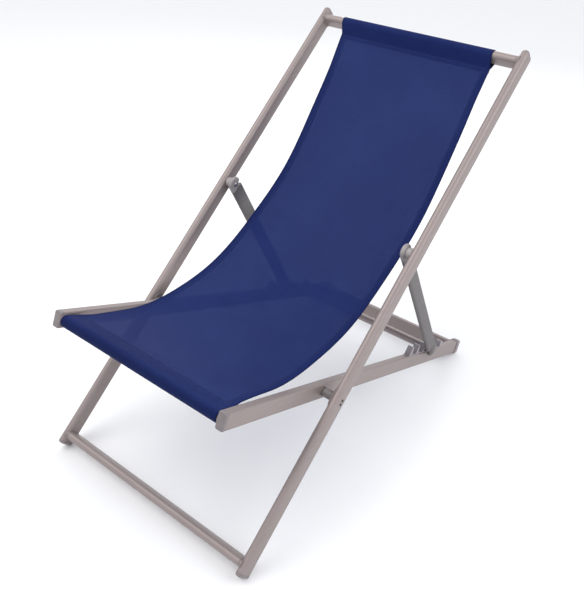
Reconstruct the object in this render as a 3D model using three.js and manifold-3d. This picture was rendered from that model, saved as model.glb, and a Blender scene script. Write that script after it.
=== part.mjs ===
// A folding deck chair: an outer back frame and an inner seat frame cross at a scissor pivot, a brace
// swings on the back frame and drops into a comb on the seat frame, and a fabric sling hangs between them.
// Millimetres. +Z is up, the sitter faces -Y, X runs across the chair and left is the sitter's left (+X).
import * as THREE from 'three';
import { mergeVertices } from 'three/addons/utils/BufferGeometryUtils.js';
import Module from 'manifold-3d';

const wasm = await Module();
wasm.setup();

// ---- Driving dimensions ----
const gap = 0.3; // clearance between pieces that touch
const backAngle = THREE.MathUtils.degToRad(42.28); // slope of the back frame
const pivotY = -199.2; // puts the origin in the middle of the footprint

// Aluminium sections: thickness across the chair, depth in the plane of the side view, radius of the
// corners, and how far the piece that closes an end is rounded
const tube = { thickness: 20, depth: 40, corner: 10, wall: 1.3, rounding: 4, headRounding: 8 };
const rail = { thickness: 20, depth: 38, corner: 4.5, wall: 1.3, rounding: 2.5 };
const leg = { thickness: 12, depth: 38, corner: 6, wall: 1.2, rounding: 5 };
const crossbar = { thickness: 20, depth: 40, corner: 10, wall: 1.3 };
const rearBar = { thickness: 20, depth: 36, corner: 4.5, wall: 1.3 };
const frontBar = { thickness: 24, depth: 24, corner: 12, wall: 1.5 };
const braceBar = { thickness: 20, depth: 20, corner: 10, wall: 1.5 };

// Half distances between the middles of each pair
const tubeX = 290;
const railX = 240;
const legX = 261;

// Places along the back frame, measured from the scissor pivot towards the head
const footEnd = -410;
const footBarAt = -385;
const bracePivotAt = 361;
const topBarAt = 893;
const headEnd = 922;

// Places along the seat frame, measured from the scissor pivot towards the rear
const railFrontEnd = -332;
const frontBarAt = -318;
const braceBarAt = 517.5;
const rearBarAt = 722;
const railRearEnd = 758;
const braceBarHeight = 31; // middle of the brace bar above the middle of the rail

// End caps
const capHead = 8;
const capShank = 12;
const rearFoot = { length: 21, wall: 1.5 }; // a cup over the end of the rail
const floorPad = 1; // how much of the lower corner of a foot is cut flat

// Fasteners
const rivet = { headRadius: 3, head: 1.6, radius: 2, hole: 2.3 };
const bolt = { headRadius: 7.5, head: 3.6, radius: 4, hole: 4.3 };
const rivetsAt = [1, -8]; // along the back frame, from the scissor pivot
const washer = { radius: 10.5, thickness: 1.7 };
const nut = { radius: 7.4, length: 6.5 };
const spacerRadius = 13;
const pivotPlate = { length: 46, width: 22, thickness: 3, bossRadius: 11, chamfer: 1, beyondRail: 18 };

// The comb that the brace bar rests in
const comb = { width: 16, from: 412, to: 626, skirt: 8, seat: 20.6 };
const tooth = { count: 6, margin: 4, pitch: 38, base: 13, tip: 7, lean: 4, tall: 43, low: 24.5, rise: 0.14 };
const combScrewsAt = [442, 594];
const combScrew = { headRadius: 3.6, head: 1.6, radius: 2, hole: 2.3, length: 10 };

// The rounded ends of a brace leg: how long the head is, and where its shank starts and ends
const legEnd = { head: 16, shankFrom: 15, shankTo: 28 };

// The sling
const cloth = { halfWidth: 220, frontHalfWidth: 228, thickness: 1.5, sleeveWall: 1.5, sleeveGap: 0.4 };

// ---- Materials ----
const aluminium = new THREE.MeshStandardMaterial({ color: 0xb0a6a2, roughness: 0.38, metalness: 0.9 });
const braceAluminium = new THREE.MeshStandardMaterial({ color: 0x8a8584, roughness: 0.45, metalness: 0.85 });
const steel = new THREE.MeshStandardMaterial({ color: 0x77757a, roughness: 0.35, metalness: 1 });
const darkSteel = new THREE.MeshStandardMaterial({ color: 0x39373a, roughness: 0.4, metalness: 1 });
const smokePlastic = new THREE.MeshStandardMaterial({ color: 0x6d686c, roughness: 0.5, metalness: 0 });
const greyPlastic = new THREE.MeshStandardMaterial({ color: 0x8f8886, roughness: 0.55, metalness: 0 });
const palePlastic = new THREE.MeshStandardMaterial({ color: 0xc9c4c0, roughness: 0.5, metalness: 0 });
const meshFabric = new THREE.MeshStandardMaterial({ color: 0x33407a, roughness: 0.8, metalness: 0 });

// ---- Layout worked out from the driving dimensions ----
// A foot touches the floor with the rounded lower corner of its end, cut flat by floorPad.
function footHeight(halfDepth, rounding, slope) {
  const corner = halfDepth - rounding;
  return rounding + corner * Math.cos(slope) - rounding * Math.sin(slope) - floorPad;
}
const pivotZ = footHeight(tube.depth / 2, tube.rounding, backAngle) - footEnd * Math.sin(backAngle);

// The seat frame slopes down to the rear so that its own feet touch the floor as well.
const railReach = railRearEnd - rail.rounding;
const railCorner = rail.depth / 2 + gap + rearFoot.wall - rail.rounding;
const seatAngle =
  Math.asin((pivotZ - rail.rounding + floorPad) / Math.hypot(railReach, railCorner)) -
  Math.atan2(railCorner, railReach);

// The brace runs from its pivot on the back frame to the brace bar above the seat rails.
function onMember(slope, along, above) {
  return new THREE.Vector2(
    pivotY + along * Math.cos(slope) - above * Math.sin(slope),
    pivotZ + along * Math.sin(slope) + above * Math.cos(slope),
  );
}
const braceTop = onMember(backAngle, bracePivotAt, 0);
const braceFoot = onMember(-seatAngle, braceBarAt, braceBarHeight);
const braceLength = braceTop.distanceTo(braceFoot);
const braceAngle = braceFoot.clone().sub(braceTop).angle() - backAngle;

// Local frames: +Y runs along each member, +Z is square to it, on the sitter's side.
const chair = new THREE.Group();
const backFrame = new THREE.Group();
backFrame.position.set(0, pivotY, pivotZ);
backFrame.rotation.x = backAngle;
const seatFrame = new THREE.Group();
seatFrame.position.copy(backFrame.position);
seatFrame.rotation.x = -seatAngle;
const brace = new THREE.Group();
brace.position.set(0, bracePivotAt, 0);
brace.rotation.x = braceAngle;
chair.add(backFrame, seatFrame);
backFrame.add(brace);
chair.updateMatrixWorld(true);

// ---- Solid helpers ----
function solid(geometry) {
  const bare = geometry.clone();
  bare.deleteAttribute('normal');
  bare.deleteAttribute('uv');
  const merged = mergeVertices(bare, 1e-3);
  return new wasm.Manifold(
    new wasm.Mesh({
      numProp: 3,
      vertProperties: merged.attributes.position.array,
      triVerts: new Uint32Array(merged.index.array),
    }),
  );
}

function geometryOf(manifold) {
  const mesh = manifold.getMesh();
  const geometry = new THREE.BufferGeometry();
  geometry.setAttribute('position', new THREE.BufferAttribute(mesh.vertProperties, 3));
  geometry.setIndex(new THREE.BufferAttribute(mesh.triVerts, 1));
  const flat = geometry.toNonIndexed();
  flat.computeVertexNormals();
  return flat;
}

function cut(geometry, tools) {
  return geometryOf(tools.reduce((whole, tool) => whole.subtract(solid(tool)), solid(geometry)));
}

function join(geometries) {
  return geometryOf(geometries.map(solid).reduce((whole, piece) => whole.add(piece)));
}

// ---- Shape helpers ----
// A section drawn with its thickness along x and its depth along y; inset draws it smaller all round.
function outline(path, { thickness, depth, corner }, inset = 0) {
  const radius = corner - inset;
  const x = thickness / 2 - corner;
  const y = depth / 2 - corner;
  const quarter = Math.PI / 2;
  path.absarc(x, y, radius, 0, quarter, false);
  path.absarc(-x, y, radius, quarter, 2 * quarter, false);
  path.absarc(-x, -y, radius, 2 * quarter, 3 * quarter, false);
  path.absarc(x, -y, radius, 3 * quarter, 4 * quarter, false);
  path.closePath();
  return path;
}

function tubular(section) {
  const shape = outline(new THREE.Shape(), section);
  shape.holes.push(outline(new THREE.Path(), section, section.wall));
  return shape;
}

const acrossX = new THREE.Matrix4().makeBasis(
  new THREE.Vector3(0, 1, 0),
  new THREE.Vector3(0, 0, 1),
  new THREE.Vector3(1, 0, 0),
);

// Extrudes a shape along +Y, its x across the chair.
function alongY(shape, from, to, bevel = 0) {
  const geometry = new THREE.ExtrudeGeometry(shape, {
    depth: to - from - 2 * bevel,
    curveSegments: 4,
    bevelEnabled: bevel > 0,
    bevelThickness: bevel,
    bevelSize: bevel,
    bevelOffset: -bevel,
    bevelSegments: 3,
  });
  return geometry.rotateX(-Math.PI / 2).translate(0, from + bevel, 0);
}

// Extrudes a shape along +X, its x along the member and its y square to it.
function alongX(shape, from, to, bevel = 0) {
  const geometry = new THREE.ExtrudeGeometry(shape, {
    depth: to - from - 2 * bevel,
    curveSegments: 4,
    bevelEnabled: bevel > 0,
    bevelThickness: bevel,
    bevelSize: bevel,
    bevelOffset: -bevel,
    bevelSegments: 3,
  });
  return geometry.applyMatrix4(acrossX).translate(from + bevel, 0, 0);
}

// A turned piece on the X axis: [radius, x] points from its inner end outwards.
function turned(points, segments = 12) {
  const profile = points.map(([radius, along]) => new THREE.Vector2(radius, along));
  return new THREE.LatheGeometry(profile, segments).rotateZ(-Math.PI / 2);
}

// A round cutting tool across the chair at one place along a member.
function drillX(radius, at, from, to) {
  const length = to - from;
  return new THREE.CylinderGeometry(radius, radius, length, 12)
    .rotateZ(Math.PI / 2)
    .translate(from + length / 2, at, 0);
}

function addMesh(group, name, geometry, material) {
  const mesh = new THREE.Mesh(geometry, material);
  mesh.name = name;
  group.add(mesh);
  return mesh;
}

// Two copies of a piece that is the same seen from both sides, at x and -x.
function addTwins(group, name, geometry, material, x) {
  addMesh(group, `${name}_left`, geometry, material).position.x = x;
  addMesh(group, `${name}_right`, geometry, material).position.x = -x;
}

// A piece drawn on the left side and its copy turned round to the right side.
function addPair(group, name, geometry, material, y = 0) {
  addMesh(group, `${name}_left`, geometry, material).position.y = y;
  const right = addMesh(group, `${name}_right`, geometry, material);
  right.position.y = y;
  right.rotation.y = Math.PI;
}

// ---- Pieces shared by the frames ----
function sideTube(section, from, to, holes) {
  return cut(alongY(tubular(section), from, to), holes);
}

function crossTube(section, at, halfLength) {
  return alongX(tubular(section), -halfLength, halfLength).translate(0, at, 0);
}

// A plug with a rounded head that closes the end of a side tube; it points along +Y or -Y.
function endCap(section, end, direction, rounding = section.rounding) {
  const inner = end - direction * capHead;
  const head = alongY(outline(new THREE.Shape(), section), -capHead, capHead, rounding);
  const rest = new THREE.BoxGeometry(100, capHead * 2, 100).translate(0, -capHead, 0);
  const shankShape = outline(new THREE.Shape(), section, section.wall + gap);
  const shank = alongY(shankShape, -capShank, 1);
  const whole = join([cut(head, [rest]), shank]);
  if (direction < 0) whole.rotateX(Math.PI);
  return whole.translate(0, inner + direction * gap, 0);
}

// A cup that fits over the rear end of a rail and rests on the floor.
function cupFoot(section, end, cuts) {
  const from = end - rearFoot.length;
  const shell = outline(new THREE.Shape(), section, -gap - rearFoot.wall);
  const whole = alongY(shell, from - section.rounding, end, section.rounding);
  const open = new THREE.BoxGeometry(100, 20, 100).translate(0, from - 10, 0);
  const inside = alongY(outline(new THREE.Shape(), section, -gap), from - 10, end - capHead + gap);
  return cut(whole, [open, inside, ...cuts]);
}

function headedPin({ headRadius, head, radius }, headAt, tipAt) {
  const outwards = Math.sign(headAt - tipAt);
  const points = [
    [0, tipAt],
    [radius, tipAt],
    [radius, headAt],
    [headRadius, headAt],
    [headRadius, headAt + outwards * head * 0.5],
    [headRadius * 0.62, headAt + outwards * head],
    [0, headAt + outwards * head],
  ];
  return turned(outwards > 0 ? points : points.reverse());
}

function ring(radius, hole, from, to) {
  return turned([[hole, from], [radius, from], [radius, to], [hole, to], [hole, from]]);
}

// Everything below the floor, seen from a member's own frame.
function belowFloor(group, x) {
  const slab = new THREE.BoxGeometry(100, 3000, 60).translate(x, 0, -30);
  return slab.applyMatrix4(group.matrixWorld.clone().invert()).translate(-x, 0, 0);
}

// ---- Back frame ----
function buildBackFrame() {
  const inside = tubeX - tube.thickness / 2;
  const outside = tubeX + tube.thickness / 2;
  const through = [-tube.thickness, tube.thickness];
  const rivetHoles = rivetsAt.map((at) => drillX(rivet.hole, at, ...through));
  // The brace bolt only passes the inner wall, and that wall is on opposite sides of the two tubes.
  const boltHole = drillX(bolt.hole, bracePivotAt, -tube.thickness, 0);
  const tubeGeometry = sideTube(tube, footEnd + capHead, headEnd - capHead, [...rivetHoles, boltHole]);
  tubeGeometry.translate(tubeX, 0, 0);
  addPair(backFrame, 'back_tube', tubeGeometry, aluminium);

  addMesh(backFrame, 'head_crossbar', crossTube(crossbar, topBarAt, inside - gap), aluminium);
  addMesh(backFrame, 'foot_crossbar', crossTube(crossbar, footBarAt, inside - gap), aluminium);
  addTwins(backFrame, 'head_cap', endCap(tube, headEnd, 1, tube.headRounding), greyPlastic, tubeX);
  const frontFoot = cut(endCap(tube, footEnd, -1), [belowFloor(backFrame, tubeX)]);
  addTwins(backFrame, 'front_foot', frontFoot, greyPlastic, tubeX);

  buildScissorPivot(inside, outside);
  buildBracePivot(inside);
}

// A block riveted to the back tube carries the pin that the seat rail turns on.
function buildScissorPivot(inside, outside) {
  const railOutside = railX + rail.thickness / 2;
  const railInside = railX - rail.thickness / 2;
  const washerEnd = railOutside + gap + washer.thickness;
  const { length, width, thickness, bossRadius, chamfer } = pivotPlate;
  const plateFrom = inside - gap - thickness;
  const pinTip = railOutside + pivotPlate.beyondRail;
  const plateShape = outline(new THREE.Shape(), { thickness: length, depth: width, corner: width / 2 });
  const plate = alongX(plateShape, plateFrom, inside - gap);
  const boss = turned([
    [0, washerEnd + gap],
    [bossRadius - chamfer, washerEnd + gap],
    [bossRadius, washerEnd + gap + chamfer],
    [bossRadius, plateFrom + 1],
    [0, plateFrom + 1],
  ]);
  const block = cut(join([plate, boss]), [
    drillX(bolt.hole, 0, washerEnd - 2, pinTip + gap),
    ...rivetsAt.map((at) => drillX(rivet.hole, at, inside - 9, inside + 5)),
  ]);
  addPair(backFrame, 'pivot_block', block, greyPlastic);
  rivetsAt.forEach((at, index) => {
    const pin = headedPin(rivet, outside + gap, inside - 8.5).translate(0, at, 0);
    addPair(backFrame, `pivot_rivet_${index + 1}`, pin, darkSteel);
  });
  addPair(backFrame, 'scissor_pin', headedPin(bolt, railInside - gap, pinTip), steel);
  addPair(backFrame, 'scissor_washer', ring(washer.radius, bolt.hole, railOutside + gap, washerEnd), steel);
}

// A bolt through the brace's cap and a spacer, with its nut inside the back tube.
function buildBracePivot(inside) {
  const legInside = legX - leg.thickness / 2;
  const legOutside = legX + leg.thickness / 2;
  const nutFrom = inside + tube.wall + gap;
  const nutTo = nutFrom + nut.length;
  const hexagon = turned([[0, nutFrom], [nut.radius, nutFrom], [nut.radius, nutTo], [0, nutTo]], 6);
  const drilled = cut(hexagon, [drillX(bolt.hole, 0, nutFrom - 1, nutTo + 1)]);
  const pin = headedPin(bolt, legInside - gap, nutTo + 2);
  addPair(backFrame, 'brace_bolt', pin, steel, bracePivotAt);
  const spacer = ring(spacerRadius, bolt.hole, legOutside + gap, inside - gap);
  addPair(backFrame, 'brace_spacer', spacer, palePlastic, bracePivotAt);
  addPair(backFrame, 'brace_nut', drilled, steel, bracePivotAt);
}

// ---- Seat frame ----
function buildSeatFrame() {
  const through = [-rail.thickness, rail.thickness];
  const combHoles = combScrewsAt.map((at) => drillComb(at));
  const holes = [drillX(bolt.hole, 0, ...through), ...combHoles];
  const railGeometry = sideTube(rail, railFrontEnd + capHead, railRearEnd - capHead, holes);
  addTwins(seatFrame, 'seat_rail', railGeometry, aluminium, railX);

  const reach = railX - rail.thickness / 2 - gap;
  addMesh(seatFrame, 'seat_front_bar', crossTube(frontBar, frontBarAt, reach), aluminium);
  addMesh(seatFrame, 'rear_crossbar', crossTube(rearBar, rearBarAt, reach), aluminium);
  addTwins(seatFrame, 'rail_front_cap', endCap(rail, railFrontEnd, -1), greyPlastic, railX);
  const foot = cupFoot(rail, railRearEnd, [belowFloor(seatFrame, railX)]);
  addTwins(seatFrame, 'rear_foot', foot, greyPlastic, railX);
  buildComb(combHoles);
}

function drillComb(at) {
  const drill = new THREE.CylinderGeometry(combScrew.hole, combScrew.hole, 30, 10);
  return drill.rotateX(Math.PI / 2).translate(0, at, 22);
}

// Leaning teeth on a strip: tall ones in front of the brace bar, and behind it lower ones that stay
// under the way the bar takes when the chair folds.
function toothTops() {
  const first = comb.from + tooth.base / 2 + tooth.margin;
  return Array.from({ length: tooth.count }, (_, index) => {
    const middle = first + index * tooth.pitch;
    const behind = middle - braceBarAt;
    return { middle, top: behind < 0 ? tooth.tall : tooth.low + tooth.rise * (behind - tooth.pitch / 2) };
  });
}

function buildComb(holes) {
  const side = new THREE.Shape();
  side.moveTo(comb.from, comb.seat);
  side.lineTo(comb.from, comb.skirt);
  side.lineTo(comb.to, comb.skirt);
  side.lineTo(comb.to, comb.seat);
  for (const { middle, top } of toothTops().reverse()) {
    const share = (top - comb.seat) / (tooth.tall - comb.seat);
    const half = THREE.MathUtils.lerp(tooth.base, tooth.tip, share) / 2;
    side.lineTo(middle + tooth.base / 2, comb.seat);
    side.lineTo(middle + half + tooth.lean * share, top);
    side.lineTo(middle - half + tooth.lean * share, top);
    side.lineTo(middle - tooth.base / 2, comb.seat);
  }
  side.closePath();
  const bed = alongY(outline(new THREE.Shape(), rail, -gap), comb.from - 10, comb.to + 10);
  const strip = cut(alongX(side, -comb.width / 2, comb.width / 2), [bed, ...holes]);
  addTwins(seatFrame, 'comb', strip, smokePlastic, railX);
  combScrewsAt.forEach((at, index) => {
    const pin = headedPin(combScrew, comb.seat + gap, comb.seat - combScrew.length);
    pin.rotateY(-Math.PI / 2).translate(0, at, 0);
    addTwins(seatFrame, `comb_screw_${index + 1}`, pin, steel, railX);
  });
}

// ---- Brace ----
// The rounded end of a brace leg: it holds the pivot hole and plugs into the leg.
function braceCap(holes) {
  const radius = leg.depth / 2;
  const side = new THREE.Shape();
  side.moveTo(legEnd.shankTo, radius);
  side.absarc(0, 0, radius, Math.PI / 2, 1.5 * Math.PI, false);
  side.lineTo(legEnd.shankTo, -radius);
  side.closePath();
  const head = alongX(side, -leg.thickness / 2, leg.thickness / 2, leg.rounding);
  const beyond = new THREE.BoxGeometry(40, 40, 80).translate(0, legEnd.head + 20, 0);
  const shank = alongY(outline(new THREE.Shape(), leg, leg.wall + gap), legEnd.shankFrom, legEnd.shankTo);
  return cut(join([cut(head, [beyond]), shank]), holes);
}

function buildBrace() {
  const legGeometry = sideTube(leg, legEnd.head + gap, braceLength - legEnd.head - gap, []);
  addTwins(brace, 'brace_leg', legGeometry, braceAluminium, legX);
  const boltHole = drillX(bolt.hole, 0, -leg.thickness, leg.thickness);
  addTwins(brace, 'brace_top_cap', braceCap([boltHole]), palePlastic, legX);
  const lower = braceCap([]).rotateX(Math.PI).translate(0, braceLength, 0);
  addTwins(brace, 'brace_end_cap', lower, braceAluminium, legX);
  addMesh(brace, 'brace_bar', crossTube(braceBar, braceLength, legX - leg.thickness / 2 - gap), aluminium);
}

// ---- Sling ----
// One strip of cloth that runs from a sleeve on the head crossbar down to a sleeve on the front bar.
function buildSling() {
  const head = onMember(backAngle, topBarAt, 0);
  const front = onMember(-seatAngle, frontBarAt, 0);
  const frontTop = onMember(-seatAngle, frontBarAt + 4, frontBar.depth / 2 + cloth.sleeveGap + 0.8);
  const line = new THREE.SplineCurve([
    head,
    new THREE.Vector2(353, 718),
    new THREE.Vector2(222, 549),
    new THREE.Vector2(93, 448),
    new THREE.Vector2(-63, 365),
    new THREE.Vector2(-186, 345),
    new THREE.Vector2(-314, 350.5),
    new THREE.Vector2(-400, 378),
    frontTop,
  ]);
  const middle = line.getSpacedPoints(36);
  const offset = (side) =>
    middle.map((point, index) => {
      const along = line.getTangentAt(index / 36);
      return new THREE.Vector2(point.x - side * along.y, point.y + side * along.x);
    });
  const half = cloth.thickness / 2;
  const side = new THREE.Shape([...offset(half), ...offset(-half).reverse()]);
  const strip = alongX(side, -cloth.halfWidth, cloth.halfWidth);

  const around = (section, place, turn, margin, halfWidth) => {
    const shape = outline(new THREE.Shape(), section, -margin);
    return alongX(shape, -halfWidth, halfWidth).rotateX(turn).translate(0, place.x, place.y);
  };
  const outer = cloth.sleeveGap + cloth.sleeveWall;
  const joined = join([
    strip,
    around(crossbar, head, backAngle, outer, cloth.halfWidth),
    around(frontBar, front, -seatAngle, outer, cloth.frontHalfWidth),
  ]);
  const sling = cut(joined, [
    around(crossbar, head, backAngle, cloth.sleeveGap, cloth.halfWidth + 5),
    around(frontBar, front, -seatAngle, cloth.sleeveGap, cloth.frontHalfWidth + 5),
  ]);
  addMesh(chair, 'sling', sling, meshFabric);
}

buildBackFrame();
buildSeatFrame();
buildBrace();
buildSling();

export default chair;
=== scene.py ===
"""Looks of a folding deck chair: camera, studio, materials, welds and fabric sling, round its CAD frame."""

import math

import bpy
import numpy as np
from mathutils import Matrix, Vector


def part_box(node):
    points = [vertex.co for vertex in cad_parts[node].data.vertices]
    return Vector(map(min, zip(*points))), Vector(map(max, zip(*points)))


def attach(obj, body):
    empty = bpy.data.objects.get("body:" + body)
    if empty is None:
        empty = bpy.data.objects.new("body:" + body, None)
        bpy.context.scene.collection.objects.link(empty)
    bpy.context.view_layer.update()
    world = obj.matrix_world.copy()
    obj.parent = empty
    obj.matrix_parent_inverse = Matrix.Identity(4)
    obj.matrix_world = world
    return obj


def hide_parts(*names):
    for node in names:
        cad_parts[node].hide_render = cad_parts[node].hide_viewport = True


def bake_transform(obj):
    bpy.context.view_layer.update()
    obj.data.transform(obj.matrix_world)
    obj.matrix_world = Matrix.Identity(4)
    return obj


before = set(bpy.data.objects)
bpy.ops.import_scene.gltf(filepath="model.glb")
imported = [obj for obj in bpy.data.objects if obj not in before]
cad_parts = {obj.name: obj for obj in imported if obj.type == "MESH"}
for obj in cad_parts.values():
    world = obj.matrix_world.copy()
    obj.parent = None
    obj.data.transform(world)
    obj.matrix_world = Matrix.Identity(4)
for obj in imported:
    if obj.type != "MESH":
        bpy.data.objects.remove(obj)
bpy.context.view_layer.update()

scene = bpy.context.scene


# ---- Camera ----
CAMERA_AT = Vector((0.9489, -1.2497, 1.3370))
CAMERA_AZIMUTH, CAMERA_ELEVATION, CAMERA_ROLL = (math.radians(a) for a in (36.02, 30.257, 3.724))
SENSOR = 36.0
LENS = 44.739
SHIFT = (-0.0257, -0.0583)


def make_camera():
    data = bpy.data.cameras.new("camera")
    data.sensor_width = SENSOR
    data.sensor_fit = "AUTO"
    data.lens = LENS
    data.shift_x, data.shift_y = SHIFT
    data.clip_start, data.clip_end = 0.05, 50
    camera = bpy.data.objects.new("camera", data)
    back = Vector((
        math.sin(CAMERA_AZIMUTH) * math.cos(CAMERA_ELEVATION),
        -math.cos(CAMERA_AZIMUTH) * math.cos(CAMERA_ELEVATION),
        math.sin(CAMERA_ELEVATION),
    ))
    right = (-back).cross(Vector((0, 0, 1))).normalized()
    up = right.cross(-back)
    c, s = math.cos(CAMERA_ROLL), math.sin(CAMERA_ROLL)
    across, above = right * c + up * s, up * c - right * s
    turn = Matrix((across, above, back)).transposed().to_4x4()
    camera.matrix_world = Matrix.Translation(CAMERA_AT) @ turn
    scene.collection.objects.link(camera)
    scene.camera = camera


make_camera()


# ---- Studio ----
def area_light(name, place, target, size, power, colour=(1, 1, 1)):
    data = bpy.data.lights.new(name, "AREA")
    data.shape = "RECTANGLE"
    data.size, data.size_y = size
    data.energy = power
    data.color = colour
    lamp = bpy.data.objects.new(name, data)
    lamp.location = place
    lamp.rotation_mode = "QUATERNION"
    lamp.rotation_quaternion = (Vector(target) - Vector(place)).to_track_quat("-Z", "Y")
    scene.collection.objects.link(lamp)


def make_studio():
    world = bpy.data.worlds.new("studio")
    scene.world = world
    world.use_nodes = True
    background = world.node_tree.nodes["Background"]
    background.inputs["Color"].default_value = (0.965, 0.975, 1.0, 1)
    background.inputs["Strength"].default_value = 0.98
    centre = (0, 0, 0.35)
    area_light("key", (-1.3, -1.5, 3.3), centre, (2.6, 2.6), 50, (1.0, 0.98, 0.95))
    area_light("side", (2.6, 0.4, 1.9), centre, (1.8, 2.2), 26, (0.97, 0.98, 1.0))
    area_light("rear", (-1.2, 2.6, 2.2), centre, (2.0, 1.4), 20)
    bpy.ops.mesh.primitive_grid_add(x_subdivisions=8, y_subdivisions=8, size=14, location=(0, 0, 0))
    floor = bpy.context.active_object
    floor.name = "floor"
    floor.data.materials.append(floor_material())
    scene.view_settings.view_transform = "Standard"
    scene.view_settings.look = "None"


# ---- Node helpers ----
class Nodes:
    """A short way to write a material's node tree."""

    def __init__(self, name):
        self.material = bpy.data.materials.new(name)
        self.material.use_nodes = True
        self.tree = self.material.node_tree
        self.shader = self.tree.nodes["Principled BSDF"]
        self.output = self.tree.nodes["Material Output"]

    def add(self, kind, settings=None, **inputs):
        node = self.tree.nodes.new(kind)
        for key, value in (settings or {}).items():
            setattr(node, key, value)
        for key, value in inputs.items():
            self.put(node.inputs[key], value)
        return node

    def put(self, socket, value):
        if isinstance(value, bpy.types.NodeSocket):
            self.tree.links.new(value, socket)
        elif isinstance(value, bpy.types.Node):
            self.tree.links.new(value.outputs[0], socket)
        else:
            socket.default_value = value

    def coords(self, scale=(1, 1, 1), turn=(0, 0, 0)):
        place = self.add("ShaderNodeTexCoord")
        mapping = self.add("ShaderNodeMapping")
        self.put(mapping.inputs["Vector"], place.outputs["Object"])
        mapping.inputs["Rotation"].default_value = turn
        mapping.inputs["Scale"].default_value = scale
        return mapping.outputs[0]

    def noise(self, vector, scale, detail=3.0, roughness=0.5):
        sockets = {"Vector": vector, "Scale": scale, "Detail": detail, "Roughness": roughness}
        return self.add("ShaderNodeTexNoise", **sockets).outputs[0]

    def math(self, operation, a, b=None):
        node = self.add("ShaderNodeMath", {"operation": operation})
        self.put(node.inputs[0], a)
        if b is not None:
            self.put(node.inputs[1], b)
        return node.outputs[0]

    def spread(self, value, from_lo, from_hi, to_lo, to_hi):
        node = self.add("ShaderNodeMapRange", {"clamp": True})
        for index, entry in enumerate((value, from_lo, from_hi, to_lo, to_hi)):
            self.put(node.inputs[index], entry)
        return node.outputs[0]

    def mix(self, share, a, b):
        node = self.add("ShaderNodeMix", {"data_type": "RGBA"})
        self.put(node.inputs[0], share)
        for index, colour in ((6, a), (7, b)):
            self.put(node.inputs[index], (*colour, 1) if isinstance(colour, tuple) else colour)
        return node.outputs[2]

    def bump(self, height, distance, strength):
        return self.add("ShaderNodeBump", Strength=strength, Distance=distance, Height=height).outputs[0]

    def outer_edge(self, radius):
        """Near 1 on an outer edge, from the surface's own pointiness: worn edges on metal, and on plastic
        paler edges that are partly a painted highlight.
        """
        pointiness = self.add("ShaderNodeNewGeometry").outputs["Pointiness"]
        return self.spread(pointiness, 0.5, 0.5 + radius, 0.0, 1.0)


def shifted(colour, factor, lift=0.0):
    """A lighter or darker version of a colour."""
    return tuple(min(1.0, c * factor + lift) for c in colour)


def floor_material():
    n = Nodes("floor")
    grain = n.noise(n.coords(), 9.0, 4.0)
    n.put(n.shader.inputs["Base Color"], n.mix(grain, (0.90, 0.905, 0.92), (0.925, 0.93, 0.94)))
    n.shader.inputs["Roughness"].default_value = 0.75
    n.put(n.shader.inputs["Normal"], n.bump(n.noise(n.coords(), 600.0, 2.0), 0.0002, 0.3))
    return n.material


# ---- Materials ----
BACK_SLOPE = math.radians(42.28)
SEAT_SLOPE = math.radians(-20.89)
BRACE_SLOPE = math.radians(-60.3)


def metal(name, light, dark, roughness, metallic, slope, across=False):
    """Drawn aluminium: fine die lines along each piece, a soft cloudy tone and a few scuffs.
    The pieces run at slope in the side view, or across the chair."""
    n = Nodes(name)
    turned = (-slope, 0, 0)

    def drawn(fine, slow):
        """Scales of a noise that is stretched along the piece."""
        return (slow, fine, fine) if across else (fine, slow, fine)

    lines = n.noise(n.coords(drawn(900, 2.2), turned), 1.0, 2.0)
    streaks = n.noise(n.coords(drawn(190, 1.1), turned), 1.0, 3.0)
    cloud = n.noise(n.coords(), 7.0, 3.0)
    scuffs = n.spread(n.noise(n.coords(drawn(60, 260), turned), 1.0, 5.0, 0.65), 0.64, 0.78, 0.0, 1.0)
    tone = n.math("ADD", n.math("MULTIPLY", streaks, 0.55), n.math("MULTIPLY", cloud, 0.45))
    base = n.mix(n.spread(tone, 0.36, 0.64, 0.0, 1.0), dark, light)
    scratched = n.mix(n.math("MULTIPLY", scuffs, 0.35), base, shifted(light, 1.25))
    worn = n.mix(n.math("MULTIPLY", n.outer_edge(0.08), 0.5), scratched, shifted(light, 1.3))
    n.put(n.shader.inputs["Base Color"], worn)
    n.shader.inputs["Metallic"].default_value = metallic
    lined = n.spread(lines, 0.3, 0.7, roughness - 0.06, roughness + 0.07)
    n.put(n.shader.inputs["Roughness"], n.math("ADD", lined, n.math("MULTIPLY", scuffs, 0.12)))
    height = n.math("ADD", lines, n.math("MULTIPLY", streaks, 0.5))
    n.put(n.shader.inputs["Normal"], n.bump(height, 0.00006, 0.8))
    return n.material


def plastic(name, light, dark, roughness, texture=0.00012):
    """Moulded nylon: a fine spark-eroded grain, faint flow marks, patches of dust and paler edges, partly
    rubbing and partly a painted highlight.
    """
    n = Nodes(name)
    fine = n.noise(n.coords(), 1400.0, 2.0)
    flow = n.noise(n.coords((30, 12, 60)), 1.0, 4.0)
    dust = n.spread(n.noise(n.coords(), 42.0, 5.0, 0.6), 0.5, 0.75, 0.0, 1.0)
    base = n.mix(n.spread(flow, 0.3, 0.7, 0.0, 1.0), dark, light)
    dusty = n.mix(n.math("MULTIPLY", dust, 0.22), base, shifted(light, 0.6, 0.16))
    # painted highlight: the outer edges are made paler for their lit sides, as well as for rubbing
    rubbed_and_highlit = n.mix(n.math("MULTIPLY", n.outer_edge(0.1), 0.6), dusty, shifted(light, 1.5, 0.03))
    n.put(n.shader.inputs["Base Color"], rubbed_and_highlit)
    n.put(n.shader.inputs["Roughness"], n.spread(fine, 0.3, 0.7, roughness - 0.08, roughness + 0.08))
    n.put(n.shader.inputs["Normal"], n.bump(fine, texture, 0.5))
    return n.material


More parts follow.
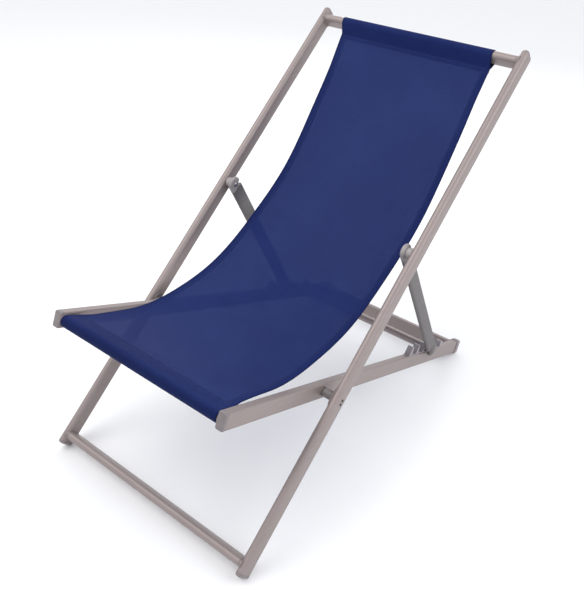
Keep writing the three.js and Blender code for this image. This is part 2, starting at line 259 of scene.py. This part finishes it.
def zinc(name, light, dark, roughness):
    """Plated steel: a mottled bright surface with a darker bloom and turning marks."""
    n = Nodes(name)
    mottle = n.noise(n.coords(), 520.0, 4.0, 0.6)
    bloom = n.spread(n.noise(n.coords(), 110.0, 4.0, 0.6), 0.42, 0.68, 0.0, 1.0)
    base = n.mix(n.spread(mottle, 0.3, 0.7, 0.0, 1.0), dark, light)
    dulled = n.mix(n.math("MULTIPLY", bloom, 0.5), base, shifted(dark, 0.55))
    n.put(n.shader.inputs["Base Color"], dulled)
    n.shader.inputs["Metallic"].default_value = 1.0
    n.put(n.shader.inputs["Roughness"], n.spread(mottle, 0.3, 0.7, roughness - 0.07, roughness + 0.12))
    n.put(n.shader.inputs["Normal"], n.bump(mottle, 0.00004, 0.6))
    return n.material


SHEET_UV = "cloth"  # metres across the cloth and along it
CLOTH_HALF = 0.2190
HEM = 0.018  # width turned under at each side
FLAT_HALF = CLOTH_HALF + HEM
YARN_PITCH = 0.00125
FRONT_WRAP = 1.316  # where along the cloth the painted shade on the roll round the front bar begins


def mesh_fabric(name, deep, bright):
    """Coated mesh cloth: round yarns over and under each other, small open squares between them."""
    n = Nodes(name)
    uv = n.add("ShaderNodeUVMap", {"uv_map": SHEET_UV})
    split = n.add("ShaderNodeSeparateXYZ")
    n.put(split.inputs[0], uv.outputs[0])
    u, v = split.outputs[0], split.outputs[1]

    def swing(coordinate):
        return n.math("SINE", n.math("MULTIPLY", coordinate, math.pi / YARN_PITCH))

    across, along = swing(u), swing(v)
    warp, weft = n.math("ABSOLUTE", across), n.math("ABSOLUTE", along)
    over = n.spread(n.math("MULTIPLY", across, along), -0.35, 0.35, 0.0, 1.0)
    under = n.math("SUBTRACT", 1.0, over)
    height = n.math("ADD", n.math("MULTIPLY", warp, over), n.math("MULTIPLY", weft, under))

    def slub(scale):
        """Uneven dye along single yarns."""
        mapping = n.add("ShaderNodeMapping")
        n.put(mapping.inputs["Vector"], uv.outputs[0])
        mapping.inputs["Scale"].default_value = scale
        return n.noise(mapping.outputs[0], 1.0, 3.0)

    cloud = n.noise(n.coords(), 5.0, 4.0)
    warp_dye, weft_dye = slub((700, 16, 1)), slub((14, 620, 1))
    dye = n.math("ADD", n.math("MULTIPLY", warp_dye, 0.4), n.math("MULTIPLY", weft_dye, 0.25))
    dye = n.math("ADD", dye, n.math("MULTIPLY", cloud, 0.35))
    base = n.mix(n.spread(dye, 0.38, 0.62, 0.0, 1.0), deep, bright)
    from_middle = n.math("ABSOLUTE", n.math("SUBTRACT", u, FLAT_HALF))
    # painted shade: the cloth is darkened where it rolls round the front bar, for the shade under the roll
    front_roll_painted_shade = n.spread(v, FRONT_WRAP, FRONT_WRAP + 0.012, 0.0, 0.55)
    # painted shade: a thin darker band along each folded side edge, where the two layers let less light
    # through
    edge_painted_shade = n.spread(from_middle, CLOTH_HALF - 0.0055, CLOTH_HALF - 0.0015, 0.0, 0.6)
    base = n.mix(front_roll_painted_shade, base, shifted(deep, 0.5))
    base = n.mix(edge_painted_shade, base, shifted(deep, 0.5))
    # painted shade: the weave is darkened where the yarns dip under, in its hollows
    shaded = n.mix(n.spread(height, 0.15, 0.7, 0.45, 0.0), base, shifted(deep, 0.35))
    n.put(n.shader.inputs["Base Color"], shaded)
    n.put(n.shader.inputs["Roughness"], n.spread(height, 0.2, 0.9, 0.8, 0.62))
    n.put(n.shader.inputs["Normal"], n.bump(height, 0.0002, 0.55))
    n.shader.inputs["Sheen Weight"].default_value = 0.02
    n.shader.inputs["Sheen Roughness"].default_value = 0.45
    n.shader.inputs["Specular IOR Level"].default_value = 0.07
    return n


def make_sling_material():
    n = mesh_fabric("sling_mesh_fabric", (0.0118, 0.0225, 0.116), (0.0196, 0.0362, 0.162))
    glow = n.add("ShaderNodeBsdfTranslucent", Color=(0.035, 0.055, 0.26, 1))
    soft = n.add("ShaderNodeMixShader", Fac=0.16)
    n.put(soft.inputs[1], n.shader.outputs[0])
    n.put(soft.inputs[2], glow.outputs[0])
    holes = n.add("ShaderNodeBsdfTransparent", Color=(0.80, 0.85, 1.0, 1))
    open_share = n.add("ShaderNodeMixShader", Fac=0.12)
    n.put(open_share.inputs[1], soft.outputs[0])
    n.put(open_share.inputs[2], holes.outputs[0])
    n.put(n.output.inputs["Surface"], open_share.outputs[0])
    return n.material


def make_thread_material():
    n = Nodes("sling_thread")
    twist = n.noise(n.coords(), 3000.0, 2.0)
    n.put(n.shader.inputs["Base Color"], n.mix(twist, (0.012, 0.018, 0.07), (0.03, 0.04, 0.12)))
    n.put(n.shader.inputs["Roughness"], n.spread(twist, 0.3, 0.7, 0.45, 0.7))
    n.put(n.shader.inputs["Normal"], n.bump(twist, 0.0001, 0.5))
    return n.material


# ---- CAD nodes and their slots ----
CHAMPAGNE = ((0.262, 0.220, 0.212), (0.215, 0.180, 0.173))
GREY_METAL = ((0.135, 0.124, 0.125), (0.108, 0.099, 0.100))

LOOKS = {
    "aluminium_back": metal("aluminium_back_frame", *CHAMPAGNE, 0.46, 0.45, BACK_SLOPE),
    "aluminium_seat": metal("aluminium_seat_frame", *CHAMPAGNE, 0.46, 0.45, SEAT_SLOPE),
    "aluminium_bar": metal("aluminium_crossbar", *CHAMPAGNE, 0.46, 0.45, 0.0, across=True),
    "brace": metal("brace_aluminium", *GREY_METAL, 0.52, 0.4, BRACE_SLOPE),
    "steel": zinc("zinc_steel", (0.52, 0.51, 0.50), (0.36, 0.355, 0.35), 0.34),
    "dark_steel": zinc("dark_steel", (0.10, 0.098, 0.10), (0.055, 0.053, 0.056), 0.42),
    "smoke_plastic": plastic("smoke_plastic", (0.215, 0.190, 0.205), (0.160, 0.140, 0.155), 0.42),
    "pivot_plastic": plastic("pivot_plastic", (0.140, 0.120, 0.122), (0.100, 0.086, 0.088), 0.5),
    "grey_plastic": plastic("grey_plastic", (0.178, 0.154, 0.158), (0.138, 0.119, 0.124), 0.5),
    "pale_plastic": plastic("pale_plastic", (0.255, 0.232, 0.232), (0.195, 0.177, 0.179), 0.5),
}


def look_of(node):
    for starts, look in (
        (("comb_screw", "brace_bolt", "brace_nut", "scissor_pin", "scissor_washer"), "steel"),
        (("pivot_rivet",), "dark_steel"),
        (("comb",), "smoke_plastic"),
        (("brace_top_cap", "brace_spacer"), "pale_plastic"),
        (("pivot_block",), "pivot_plastic"),
        (("head_cap", "front_foot", "rail_front_cap", "rear_foot"), "grey_plastic"),
        (("brace_leg", "brace_end_cap"), "brace"),
        (("back_tube",), "aluminium_back"),
        (("seat_rail",), "aluminium_seat"),
    ):
        if node.startswith(starts):
            return look
    return "aluminium_bar"


SMOOTH_BELOW = math.radians(35)  # edges flatter than this are shaded smooth


def make_smoothing():
    """A modifier's node tree that joins the facets' split corners and shades the round faces smooth."""
    tree = bpy.data.node_groups.new("smooth_round_faces", "GeometryNodeTree")
    tree.interface.new_socket("Geometry", in_out="INPUT", socket_type="NodeSocketGeometry")
    tree.interface.new_socket("Geometry", in_out="OUTPUT", socket_type="NodeSocketGeometry")
    source, result = tree.nodes.new("NodeGroupInput"), tree.nodes.new("NodeGroupOutput")
    plain = tree.nodes.new("GeometryNodeRemoveAttribute")
    plain.inputs["Name"].default_value = "custom_normal"
    merge = tree.nodes.new("GeometryNodeMergeByDistance")
    merge.inputs["Distance"].default_value = 0.00001
    smooth_faces = tree.nodes.new("GeometryNodeSetShadeSmooth")
    smooth_edges = tree.nodes.new("GeometryNodeSetShadeSmooth")
    smooth_edges.domain = "EDGE"
    smooth_edges.inputs["Shade Smooth"].default_value = False
    angle = tree.nodes.new("GeometryNodeInputMeshEdgeAngle")
    sharp = tree.nodes.new("FunctionNodeCompare")
    sharp.data_type, sharp.operation = "FLOAT", "GREATER_THAN"
    sharp.inputs[1].default_value = SMOOTH_BELOW
    link = tree.links.new
    link(source.outputs[0], plain.inputs["Geometry"])
    link(plain.outputs[0], merge.inputs["Geometry"])
    link(merge.outputs[0], smooth_faces.inputs["Geometry"])
    link(smooth_faces.outputs[0], smooth_edges.inputs["Geometry"])
    link(angle.outputs["Unsigned Angle"], sharp.inputs[0])
    link(sharp.outputs[0], smooth_edges.inputs["Selection"])
    link(smooth_edges.outputs[0], result.inputs[0])
    return tree


smoothing = make_smoothing()
for node_name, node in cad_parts.items():
    node.data.materials.clear()
    node.data.materials.append(LOOKS[look_of(node_name)])
    node.modifiers.new("smooth", "NODES").node_group = smoothing


# ---- Sling ----
CLOTH = 0.0009  # thickness
LAYER = CLOTH + 0.0001  # from the middle of one layer of cloth to the next
SEAM = 0.018  # allowance sewn down behind each sleeve
ROW = 0.006  # from one row of the free cloth to the next
STANDOFF = 0.0017  # from a bar to the middle of the cloth wrapped on it
HEAD_BAR = (0.020, 0.040)  # its flat-oval section: along the back frame and square to it
HEAD_SEAM = 0.028  # from the middle of the head bar to its seam
FRONT_SEAM = 0.030  # from the middle of the front bar back to its seam
FRONT_HALF = 0.2275  # the front sleeve reaches further out, to the rails
NECKING = 0.0025  # how far each side draws in between the sleeves
CROSS_SAG = 0.0045  # how far the middle hangs below the stiffer hems
# The middle of the cloth between its seams, (y, z)
BELLY = (
    (0.352, 0.718),
    (0.221, 0.549),
    (0.092, 0.448),
    (-0.064, 0.365),
    (-0.187, 0.345),
    (-0.315, 0.3505),
    (-0.401, 0.378),
)
# Soft creases left by storage: place along the sling from the head seam, and lean across the width
CREASES = ((0.205, 0.02), (0.505, -0.03))


def centre_of(node):
    lo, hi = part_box(node)
    return np.array(((lo.y + hi.y) / 2, (lo.z + hi.z) / 2))


def unit(v):
    return v / np.linalg.norm(v)


def arc(middle, radius, first, last, step=0.0025):
    """Points round middle from one angle to another, in radians from +Y towards +Z."""
    count = max(3, int(abs(last - first) * radius / step) + 1)
    return [middle + radius * np.array((math.cos(a), math.sin(a))) for a in np.linspace(first, last, count)]


def joined(*runs, step=0.0025):
    """One line through the runs of points, with the straights between them filled in."""
    out = [runs[0][0]]
    for run in runs:
        for point in run:
            gap = np.linalg.norm(point - out[-1])
            if gap < 1e-7:
                continue
            count = max(1, int(round(gap / step))) if gap > 1.6 * step else 1
            start = out[-1]
            out += [start + (point - start) * k / count for k in range(1, count + 1)]
    return out


def smooth_curve(points, step):
    """A natural cubic spline through the points by chord length, in even steps."""
    p = np.array(points, float)
    t = np.r_[0, np.cumsum(np.linalg.norm(np.diff(p, axis=0), axis=1))]
    h = np.diff(t)
    n = len(p)
    a, b = np.zeros((n, n)), np.zeros((n, 2))
    a[0, 0] = a[-1, -1] = 1
    for i in range(1, n - 1):
        a[i, i - 1:i + 2] = h[i - 1], 2 * (h[i - 1] + h[i]), h[i]
        b[i] = 6 * ((p[i + 1] - p[i]) / h[i] - (p[i] - p[i - 1]) / h[i - 1])
    m = np.linalg.solve(a, b)
    out = []
    for x in np.linspace(0, t[-1], int(t[-1] / step) + 1):
        i = min(int(np.searchsorted(t, x, "right")) - 1, n - 2)
        before, after = x - t[i], t[i + 1] - x
        out.append(
            (m[i] * after ** 3 + m[i + 1] * before ** 3) / (6 * h[i])
            + (p[i] / h[i] - m[i] * h[i] / 6) * after
            + (p[i + 1] / h[i] - m[i + 1] * h[i] / 6) * before
        )
    return out


def inward(points):
    """Unit normals of a line in the YZ plane, on the side of the bars."""
    tangent = np.gradient(np.array(points), axis=0)
    tangent /= np.linalg.norm(tangent, axis=1)[:, None]
    return np.stack([-tangent[:, 1], tangent[:, 0]], axis=1)


def sling_profile():
    """The middle line of the whole cut of cloth, from the flap behind the head bar to the flap under the
    front bar, and the first and last rows of the part between the seams."""
    thickness, depth = HEAD_BAR
    square = np.array((-math.sin(BACK_SLOPE), math.cos(BACK_SLOPE)))  # towards the sitter
    radius = thickness / 2 + STANDOFF
    head = centre_of("head_crossbar")
    sitter_side, rear_side = (head + side * square * (depth - thickness) / 2 for side in (1, -1))
    head_seam = head + unit(np.array(BELLY[0]) - head) * HEAD_SEAM

    def touch(middle):
        """The direction from middle to the seam, and how far round from it the cloth leaves the bar."""
        reach = head_seam - middle
        return math.atan2(reach[1], reach[0]) % (2 * math.pi), math.acos(radius / np.linalg.norm(reach))

    front_aim, front_turn = touch(sitter_side)
    rear_aim, rear_turn = touch(rear_side)

    lo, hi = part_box("seat_front_bar")
    front = centre_of("seat_front_bar")
    front_radius = (hi.z - lo.z) / 2 + STANDOFF
    front_open = math.acos(front_radius / FRONT_SEAM)
    front_seam = front + np.array((FRONT_SEAM, 0))

    belly = smooth_curve([head_seam, *BELLY, front_seam], ROW)
    offset = [p + n * LAYER for p, n in zip(belly, inward(belly))]
    rows = int(SEAM / ROW) + 1
    over_head = joined(
        arc(rear_side, radius, rear_aim + rear_turn, BACK_SLOPE + 2 * math.pi),
        arc(sitter_side, radius, BACK_SLOPE, front_aim - front_turn),
    )
    over_front = arc(front, front_radius, front_open, 2 * math.pi - front_open)
    before = joined(offset[:rows][::-1], over_head, belly[:1])[:-1]
    after = joined(belly[-1:], over_front, offset[-rows:][::-1])[1:]
    return np.array([*before, *belly, *after]), len(before), len(before) + len(belly) - 1


def smoothstep(x):
    x = np.clip(x, 0, 1)
    return x * x * (3 - 2 * x)


def across_columns():
    """The cut's width as columns, each its place across the chair and its depth under the main layer, 0 or 1,
    and the distance of each in the flat."""
    turn = LAYER / 2
    edge = CLOTH_HALF - turn
    hem = [(edge - HEM * k / 3, 1.0) for k in (3, 2, 1, 0)]
    round_fold = np.linspace(0, math.pi, 5)[1:-1]
    fold = [(edge + turn * math.sin(a), 0.5 + 0.5 * math.cos(a)) for a in round_fold]
    beside_hem = [edge - inset for inset in (0, 0.005, 0.010, 0.0155)]
    inner = np.linspace(edge - 0.021, -(edge - 0.021), 67)
    main = [*beside_hem, *inner, *[-x for x in beside_hem[::-1]]]
    columns = [*hem, *fold, *[(x, 0.0) for x in main]]
    columns += [(-x, depth) for x, depth in [*hem, *fold][::-1]]
    points = np.array([(x, depth * LAYER) for x, depth in columns])
    flat = np.r_[0, np.cumsum(np.linalg.norm(np.diff(points, axis=0), axis=1))]
    return np.array(columns), flat


def relief(free, from_seams, x):
    """How far the cloth hangs below its middle line: sag, waves, puckers at the seams, curl and creases."""
    grip = smoothstep(from_seams / 0.14)[:, None]
    away = from_seams[:, None]
    settle = free[:, None]
    share = x / CLOTH_HALF
    sag = CROSS_SAG * (1 - np.abs(share) ** 2.4)
    waves = 0.0011 * np.sin(11.0 * settle + 2.3 * share + 0.6) * np.cos(2.1 * share - 4.0 * settle)
    waves = waves + 0.0006 * np.sin(23.0 * settle - 3.9 * share + 1.9)
    puckers = 0.00045 * np.sin(2 * math.pi * x / 0.026) * np.exp(-away / 0.022) * smoothstep(away / 0.004)
    uneven = 1 + 0.5 * np.sin(17.0 * settle + 3 * np.sign(share))
    edge_curl = -0.0016 * smoothstep((np.abs(share) - 0.86) / 0.14) * uneven
    creases = 0
    for place, lean in CREASES:
        past = settle - place - lean * x - 0.0015 * np.sin(9.0 * x)
        creases = creases + 0.0009 * np.exp(-(past / 0.0045) ** 2) - 0.0006 * np.exp(-(past / 0.016) ** 2)
    return (sag + waves + creases + edge_curl) * grip + puckers


def build_sling():
    path, first, last = sling_profile()
    inner = inward(path)
    columns, flat = across_columns()
    lengths = np.r_[0, np.cumsum(np.linalg.norm(np.diff(path, axis=0), axis=1))]
    free = lengths - lengths[first]  # distance from the head seam
    span = lengths[last] - lengths[first]
    from_seams = np.clip(np.minimum(free, span - free), 0, None)
    x = columns[:, 0][None, :]

    # At the seams the flap lies behind the hems, so it stands two layers further off there.
    in_flap = np.zeros(len(path))
    in_flap[:first] = 1 - smoothstep((lengths[:first] - SEAM) / 0.012)
    back = lengths[-1] - lengths
    in_flap[last + 1:] = 1 - smoothstep((back[last + 1:] - SEAM) / 0.012)
    hemmed = smoothstep((np.abs(x) - (CLOTH_HALF - HEM - 0.006)) / 0.005)
    stand = -2 * LAYER * in_flap[:, None] * hemmed

    depth = columns[:, 1][None, :] * LAYER + relief(free, from_seams, x) + stand
    flare = smoothstep((free - span + 0.045) / 0.050)
    width = CLOTH_HALF - NECKING * smoothstep(from_seams / 0.10) + (FRONT_HALF - CLOTH_HALF) * flare
    grid = np.empty((len(path), len(columns), 3))
    grid[:, :, 0] = x / CLOTH_HALF * width[:, None]
    grid[:, :, 1] = path[:, 0][:, None] + inner[:, 0][:, None] * depth
    grid[:, :, 2] = path[:, 1][:, None] + inner[:, 1][:, None] * depth
    return cloth_piece(grid, flat, lengths, columns, first, last)


def cloth_piece(grid, flat, lengths, columns, first, last):
    """The cloth, its flat size, and the part between the seams that the stitches lie on."""
    rows, cols = grid.shape[:2]
    index = np.arange(rows * cols).reshape(rows, cols)
    quads = [index[:-1, :-1], index[:-1, 1:], index[1:, 1:], index[1:, :-1]]
    faces = np.stack(quads, axis=-1).reshape(-1, 4)
    mesh = bpy.data.meshes.new("sling_cloth")
    mesh.from_pydata(grid.reshape(-1, 3).tolist(), [], faces.tolist())
    uv = mesh.uv_layers.new(name=SHEET_UV)
    corners = np.empty(len(mesh.loops), np.int32)
    mesh.loops.foreach_get("vertex_index", corners)
    places = np.stack([flat[corners % cols], lengths[corners // cols]], axis=1)
    uv.data.foreach_set("uv", places.astype(np.float32).ravel())
    mesh.shade_smooth()
    cloth = bpy.data.objects.new("sling_cloth", mesh)
    scene.collection.objects.link(cloth)
    solidify = cloth.modifiers.new("thickness", "SOLIDIFY")
    solidify.thickness = CLOTH
    solidify.offset = 0
    solidify.use_even_offset = True
    cloth.data.materials.append(make_sling_material())
    flat_size = (float(flat[-1]), float(lengths[-1]))
    main = np.where(columns[:, 1] == 0)[0]
    between = slice(first, last + 1)
    return cloth, flat_size, grid[between, main], (lengths - lengths[first])[between], columns[main, 0]


# ---- Stitching ----
STITCH = 0.0036
STITCH_PITCH = 0.0048
THREAD = 0.00032  # radius
THREAD_SIDES = 6


def stitch_template():
    """A thread that rises out of the cloth, runs over it and dips back: rings of points along x."""
    half = ((-0.5, -0.7, 0.75), (-0.4, 0.0, 1), (-0.15, 0.45, 1))  # place along the stitch, rise and size
    whole = (*half, *[(-share, rise, size) for share, rise, size in half[::-1]])
    points = []
    for share, rise, size in whole:
        for k in range(THREAD_SIDES):
            a = 2 * math.pi * k / THREAD_SIDES
            up = math.sin(a) * THREAD * size + rise * THREAD
            points.append((share * STITCH, math.cos(a) * THREAD * size, up))
    faces = []
    for ring in range(len(whole) - 1):
        base = ring * THREAD_SIDES
        for k in range(THREAD_SIDES):
            a, b = base + k, base + (k + 1) % THREAD_SIDES
            faces.append((a, b, b + THREAD_SIDES, a + THREAD_SIDES))
    faces.append(tuple(range(THREAD_SIDES - 1, -1, -1)))
    faces.append(tuple(range(len(points) - THREAD_SIDES, len(points))))
    return np.array(points), faces


def build_stitches(grid, free, columns):
    """Rows of stitches on both faces of the cloth: one along each hem, two across each sleeve seam."""
    template, template_faces = stitch_template()
    order = np.argsort(columns)
    columns, grid = columns[order], grid[:, order]

    def at(x, s):
        i = float(np.interp(s, free, np.arange(len(free))))
        j = float(np.interp(x, columns, np.arange(len(columns))))
        i0, j0 = min(int(i), len(free) - 2), min(int(j), len(columns) - 2)
        a, b = i - i0, j - j0
        return (
            (1 - a) * (1 - b) * grid[i0, j0] + a * (1 - b) * grid[i0 + 1, j0]
            + (1 - a) * b * grid[i0, j0 + 1] + a * b * grid[i0 + 1, j0 + 1]
        )

    spots = []  # place across, place along, and whether the row runs along the cloth
    span = float(free[-1])
    row_along = np.arange(0.004, span - 0.004, STITCH_PITCH)
    row_across = np.arange(-CLOTH_HALF + 0.006, CLOTH_HALF - 0.005, STITCH_PITCH)
    for x in (-CLOTH_HALF + HEM - 0.0035, CLOTH_HALF - HEM + 0.0035):
        spots += [(x, s, True) for s in row_along]
    for s in (0.003, SEAM - 0.005, span - 0.003, span - SEAM + 0.005):
        spots += [(x, s, False) for x in row_across]
    verts, faces = [], []
    step = 0.002  # over which the cloth's direction is taken
    for x, s, lengthwise in spots:
        place = at(x, s)
        down = unit(at(x, min(s + step, span)) - at(x, max(s - step, 0)))
        over = unit(at(x + step, s) - at(x - step, s))
        out = unit(np.cross(down, over))
        if out @ np.array((0, -0.4, 1)) < 0:
            out = -out
        run = down if lengthwise else over
        beside = np.cross(out, run)
        layers = 3 if not lengthwise and abs(x) > CLOTH_HALF - HEM else 1  # below the main one
        under = layers * LAYER
        for side, depth in ((1, CLOTH / 2), (-1, under + CLOTH / 2)):
            basis = np.stack([run, beside * side, out * side])
            moved = template @ basis + place + out * side * depth
            base = len(verts) * len(template)
            verts.append(moved)
            faces += [tuple(base + v for v in f) for f in template_faces]
    mesh = bpy.data.meshes.new("sling_stitching")
    mesh.from_pydata(np.concatenate(verts).tolist(), [], faces)
    mesh.shade_smooth()
    thread = bpy.data.objects.new("sling_stitching", mesh)
    scene.collection.objects.link(thread)
    thread.data.materials.append(make_thread_material())
    return thread


# ---- Welds ----
WELD = 0.0022  # how far a bead reaches along each of the two surfaces it joins
WELD_PITCH = 0.0021  # from one ripple of the bead to the next
WELD_RIPPLE = 0.00022  # height of a ripple
WELD_DRIFT = 0.00016  # slow change of the reach round the bar


def outline(half_along, half_square, corner, count=24):
    """Points and outward normals round a section with rounded corners."""
    out = []
    for k, (sa, sb) in enumerate(((1, 1), (-1, 1), (-1, -1), (1, -1))):
        middle = np.array((sa * (half_along - corner), sb * (half_square - corner)))
        for a in np.linspace(k * math.pi / 2, (k + 1) * math.pi / 2, count):
            normal = np.array((math.cos(a), math.sin(a)))
            out.append((middle + corner * normal, normal))
    return out


def evenly(points, step):
    """The closed outline again, in even steps."""
    p = np.array([np.r_[place, normal] for place, normal in points + points[:1]])
    t = np.r_[0, np.cumsum(np.linalg.norm(np.diff(p[:, :2], axis=0), axis=1))]
    count = int(t[-1] / step)
    q = np.array([np.interp(np.linspace(0, t[-1], count, endpoint=False), t, p[:, i]) for i in range(4)]).T
    q[:, 2:] /= np.linalg.norm(q[:, 2:], axis=1)[:, None]
    return q, t[-1]


def side_surface(face, offset):
    """Place across the chair of a side member's inner surface, at an offset from the middle of its depth."""
    inner_face, corner, flat = face
    over = min(max(abs(offset) - flat, 0), 0.93 * corner)  # short of where the face turns away
    return inner_face + corner - math.sqrt(corner ** 2 - over ** 2)


def bead_profile(face, b, nb, reach):
    """The bead's section where the bar's outline is b out with normal nb: (place across the chair, place
    along the normal), from the bar's own surface to the side member's and back inside the joint."""
    near = face[0] - 0.0003 - reach
    far = side_surface(face, b + nb * reach)
    return (
        (near, -0.0004),
        (near + 0.0002, 0.00025),
        (near + 0.35 * (far - near), 0.306 * reach),
        (near + 0.7 * (far - near), 0.62 * reach),
        (far - 0.0002, reach),
        (far + 0.0005, 0.7 * reach),
        (side_surface(face, b) + 0.0004, -0.0006),
    )


def weld(name, bar, slope, section, face, body):
    """Beads round both ends of a bar, where it meets the inner faces of two side members."""
    ring, around = evenly(outline(*section), 0.0007)
    middle = centre_of(bar)
    along = np.array((math.cos(slope), math.sin(slope)))
    square = np.array((-math.sin(slope), math.cos(slope)))
    verts, faces = [], []
    for side in (-1, 1):
        base = len(verts)
        for k, (a, b, na, nb) in enumerate(ring):
            turn = k / len(ring)
            ripple = WELD_RIPPLE * math.sin(2 * math.pi * around * turn / WELD_PITCH)
            drift = WELD_DRIFT * math.sin(61 * turn * side + 1)
            for x, out in bead_profile(face, b, nb, WELD + ripple + drift):
                y, z = middle + along * (a + na * out) + square * (b + nb * out)
                verts.append((side * x, y, z))
        size = (len(verts) - base) // len(ring)
        for k in range(len(ring)):
            here, there = base + k * size, base + (k + 1) % len(ring) * size
            for j in range(size):
                quad = (here + j, here + (j + 1) % size, there + (j + 1) % size, there + j)
                faces.append(quad if side > 0 else quad[::-1])
    mesh = bpy.data.meshes.new(name)
    mesh.from_pydata(verts, [], faces)
    mesh.shade_smooth()
    bead = bpy.data.objects.new(name, mesh)
    scene.collection.objects.link(bead)
    bead.data.materials.append(LOOKS["aluminium_bar"])
    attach(bead, body)


# Sections of the bars: half size along the frame, half size square to it, corner radius
FLAT_OVAL = (0.010, 0.020, 0.010)
REAR_BAR = (0.010, 0.018, 0.0045)
FRONT_BAR = (0.012, 0.012, 0.012)
BRACE_BAR = (0.010, 0.010, 0.010)
# Inner faces of the side members: place across the chair, corner radius, half width of the flat part
TUBE_FACE = (0.280, 0.010, 0.010)
RAIL_FACE = (0.230, 0.0045, 0.0145)
LEG_FACE = (0.255, 0.006, 0.013)
weld("weld_head_crossbar", "head_crossbar", BACK_SLOPE, FLAT_OVAL, TUBE_FACE, "back_frame")
weld("weld_foot_crossbar", "foot_crossbar", BACK_SLOPE, FLAT_OVAL, TUBE_FACE, "back_frame")
weld("weld_rear_crossbar", "rear_crossbar", SEAT_SLOPE, REAR_BAR, RAIL_FACE, "seat_frame")
weld("weld_front_bar", "seat_front_bar", SEAT_SLOPE, FRONT_BAR, RAIL_FACE, "seat_frame")
weld("weld_brace_bar", "brace_bar", BRACE_SLOPE, BRACE_BAR, LEG_FACE, "brace")

cloth, flat_size, grid, free, columns = build_sling()
thread = build_stitches(grid, free, columns)
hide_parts("sling")
for piece in (cloth, thread):
    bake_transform(piece)

make_studio()
